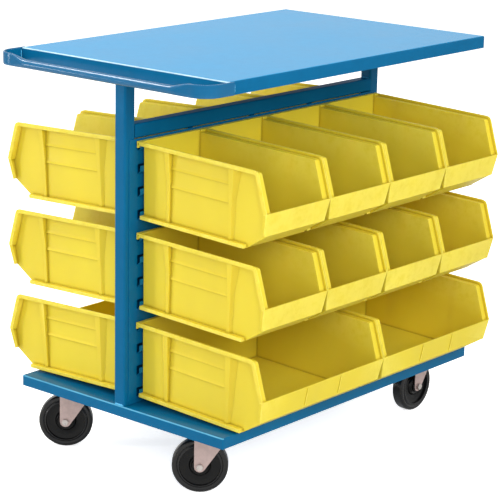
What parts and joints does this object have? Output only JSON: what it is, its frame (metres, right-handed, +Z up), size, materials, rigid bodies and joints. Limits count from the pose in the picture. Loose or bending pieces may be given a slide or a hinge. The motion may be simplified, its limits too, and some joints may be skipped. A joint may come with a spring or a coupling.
{
  "type": "mobile bin cart",
  "caption": "Steel cart with a push handle, a worktop, louvered panels on both sides holding hang-on hopper bins, and swivel and rigid casters.",
  "frame": {"origin": "on the floor, under the centre of the cart's overall box, bins and handle included", "axes": "+X along the cart away from the push handle, +Y towards the back row of bins, +Z up"},
  "size_m": [1.0154, 0.7866, 0.9524],
  "materials": {
    "blue_paint": "satin blue powder coat",
    "yellow_plastic": "moulded, satin",
    "black_rubber": "hard black wheel, satin",
    "zinc_plate": "zinc plated, satin"
  },
  "bodies": {
    "cart_frame": {"base_deck": "blue_paint", "caster_channel_handle_end": "blue_paint", "caster_channel_far_end": "blue_paint", "post_handle_end": "blue_paint", "post_far_end": "blue_paint", "top_rail": "blue_paint", "cross_arm_handle_end": "blue_paint", "cross_arm_far_end": "blue_paint", "worktop": "blue_paint", "louver_panel_front": "blue_paint", "louver_panel_back": "blue_paint", "push_handle": "blue_paint", "swivel_front_plate": "zinc_plate", "swivel_front_ball_race": "zinc_plate", "swivel_front_kingpin": "zinc_plate", "swivel_back_plate": "zinc_plate", "swivel_back_ball_race": "zinc_plate", "swivel_back_kingpin": "zinc_plate", "rigid_front_bracket": "zinc_plate", "rigid_front_axle_sleeve": "zinc_plate", "rigid_front_axle_bolt": "zinc_plate", "rigid_front_axle_nut": "zinc_plate", "rigid_back_bracket": "zinc_plate", "rigid_back_axle_sleeve": "zinc_plate", "rigid_back_axle_bolt": "zinc_plate", "rigid_back_axle_nut": "zinc_plate"},
    "swivel_front_caster": {"swivel_front_fork": "zinc_plate", "swivel_front_axle_sleeve": "zinc_plate", "swivel_front_axle_bolt": "zinc_plate", "swivel_front_axle_nut": "zinc_plate"},
    "swivel_back_caster": {"swivel_back_fork": "zinc_plate", "swivel_back_axle_sleeve": "zinc_plate", "swivel_back_axle_bolt": "zinc_plate", "swivel_back_axle_nut": "zinc_plate"},
    "swivel_front_wheel": {"swivel_front_wheel": "black_rubber"},
    "swivel_back_wheel": {"swivel_back_wheel": "black_rubber"},
    "rigid_front_wheel": {"rigid_front_wheel": "black_rubber"},
    "rigid_back_wheel": {"rigid_back_wheel": "black_rubber"},
    "bin_back_low_1": {"bin_back_low_1": "yellow_plastic"},
    "bin_back_low_2": {"bin_back_low_2": "yellow_plastic"},
    "bin_back_middle_1": {"bin_back_middle_1": "yellow_plastic"},
    "bin_back_middle_2": {"bin_back_middle_2": "yellow_plastic"},
    "bin_back_middle_3": {"bin_back_middle_3": "yellow_plastic"},
    "bin_back_middle_4": {"bin_back_middle_4": "yellow_plastic"},
    "bin_back_top_1": {"bin_back_top_1": "yellow_plastic"},
    "bin_back_top_2": {"bin_back_top_2": "yellow_plastic"},
    "bin_back_top_3": {"bin_back_top_3": "yellow_plastic"},
    "bin_back_top_4": {"bin_back_top_4": "yellow_plastic"},
    "bin_front_low_1": {"bin_front_low_1": "yellow_plastic"},
    "bin_front_low_2": {"bin_front_low_2": "yellow_plastic"},
    "bin_front_middle_1": {"bin_front_middle_1": "yellow_plastic"},
    "bin_front_middle_2": {"bin_front_middle_2": "yellow_plastic"},
    "bin_front_middle_3": {"bin_front_middle_3": "yellow_plastic"},
    "bin_front_middle_4": {"bin_front_middle_4": "yellow_plastic"},
    "bin_front_top_1": {"bin_front_top_1": "yellow_plastic"},
    "bin_front_top_2": {"bin_front_top_2": "yellow_plastic"},
    "bin_front_top_3": {"bin_front_top_3": "yellow_plastic"},
    "bin_front_top_4": {"bin_front_top_4": "yellow_plastic"}
  },
  "joints": [
    {"name": "swivel_front_turn", "type": "hinge", "parent": "cart_frame", "child": "swivel_front_caster", "pos_m": [-0.3229, -0.2134, 0.0635], "axis": [0, 0, 1], "continuous": true},
    {"name": "swivel_back_turn", "type": "hinge", "parent": "cart_frame", "child": "swivel_back_caster", "pos_m": [-0.3229, 0.2134, 0.0635], "axis": [0, 0, 1], "continuous": true},
    {"name": "swivel_front_roll", "type": "hinge", "parent": "swivel_front_caster", "child": "swivel_front_wheel", "pos_m": [-0.3515, -0.17931, 0.0635], "axis": [-0.766, -0.6428, 0], "continuous": true},
    {"name": "swivel_back_roll", "type": "hinge", "parent": "swivel_back_caster", "child": "swivel_back_wheel", "pos_m": [-0.3515, 0.24749, 0.0635], "axis": [-0.766, -0.6428, 0], "continuous": true},
    {"name": "rigid_front_roll", "type": "hinge", "parent": "cart_frame", "child": "rigid_front_wheel", "pos_m": [0.4269, -0.1955, 0.0635], "axis": [0, -1, 0], "continuous": true},
    {"name": "rigid_back_roll", "type": "hinge", "parent": "cart_frame", "child": "rigid_back_wheel", "pos_m": [0.4269, 0.1955, 0.0635], "axis": [0, -1, 0], "continuous": true},
    {"name": "bin_back_low_1_lift", "type": "slide", "parent": "cart_frame", "child": "bin_back_low_1", "axis": [0, 0, 1], "range_m": [0, 0.015]},
    {"name": "bin_back_low_2_lift", "type": "slide", "parent": "cart_frame", "child": "bin_back_low_2", "axis": [0, 0, 1], "range_m": [0, 0.015]},
    {"name": "bin_back_middle_1_lift", "type": "slide", "parent": "cart_frame", "child": "bin_back_middle_1", "axis": [0, 0, 1], "range_m": [0, 0.015]},
    {"name": "bin_back_middle_2_lift", "type": "slide", "parent": "cart_frame", "child": "bin_back_middle_2", "axis": [0, 0, 1], "range_m": [0, 0.015]},
    {"name": "bin_back_middle_3_lift", "type": "slide", "parent": "cart_frame", "child": "bin_back_middle_3", "axis": [0, 0, 1], "range_m": [0, 0.015]},
    {"name": "bin_back_middle_4_lift", "type": "slide", "parent": "cart_frame", "child": "bin_back_middle_4", "axis": [0, 0, 1], "range_m": [0, 0.015]},
    {"name": "bin_back_top_1_lift", "type": "slide", "parent": "cart_frame", "child": "bin_back_top_1", "axis": [0, 0, 1], "range_m": [0, 0.015]},
    {"name": "bin_back_top_2_lift", "type": "slide", "parent": "cart_frame", "child": "bin_back_top_2", "axis": [0, 0, 1], "range_m": [0, 0.015]},
    {"name": "bin_back_top_3_lift", "type": "slide", "parent": "cart_frame", "child": "bin_back_top_3", "axis": [0, 0, 1], "range_m": [0, 0.015]},
    {"name": "bin_back_top_4_lift", "type": "slide", "parent": "cart_frame", "child": "bin_back_top_4", "axis": [0, 0, 1], "range_m": [0, 0.015]},
    {"name": "bin_front_low_1_lift", "type": "slide", "parent": "cart_frame", "child": "bin_front_low_1", "axis": [0, 0, 1], "range_m": [0, 0.015]},
    {"name": "bin_front_low_2_lift", "type": "slide", "parent": "cart_frame", "child": "bin_front_low_2", "axis": [0, 0, 1], "range_m": [0, 0.015]},
    {"name": "bin_front_middle_1_lift", "type": "slide", "parent": "cart_frame", "child": "bin_front_middle_1", "axis": [0, 0, 1], "range_m": [0, 0.015]},
    {"name": "bin_front_middle_2_lift", "type": "slide", "parent": "cart_frame", "child": "bin_front_middle_2", "axis": [0, 0, 1], "range_m": [0, 0.015]},
    {"name": "bin_front_middle_3_lift", "type": "slide", "parent": "cart_frame", "child": "bin_front_middle_3", "axis": [0, 0, 1], "range_m": [0, 0.015]},
    {"name": "bin_front_middle_4_lift", "type": "slide", "parent": "cart_frame", "child": "bin_front_middle_4", "axis": [0, 0, 1], "range_m": [0, 0.015]},
    {"name": "bin_front_top_1_lift", "type": "slide", "parent": "cart_frame", "child": "bin_front_top_1", "axis": [0, 0, 1], "range_m": [0, 0.015]},
    {"name": "bin_front_top_2_lift", "type": "slide", "parent": "cart_frame", "child": "bin_front_top_2", "axis": [0, 0, 1], "range_m": [0, 0.015]},
    {"name": "bin_front_top_3_lift", "type": "slide", "parent": "cart_frame", "child": "bin_front_top_3", "axis": [0, 0, 1], "range_m": [0, 0.015]},
    {"name": "bin_front_top_4_lift", "type": "slide", "parent": "cart_frame", "child": "bin_front_top_4", "axis": [0, 0, 1], "range_m": [0, 0.015]}
  ]
}
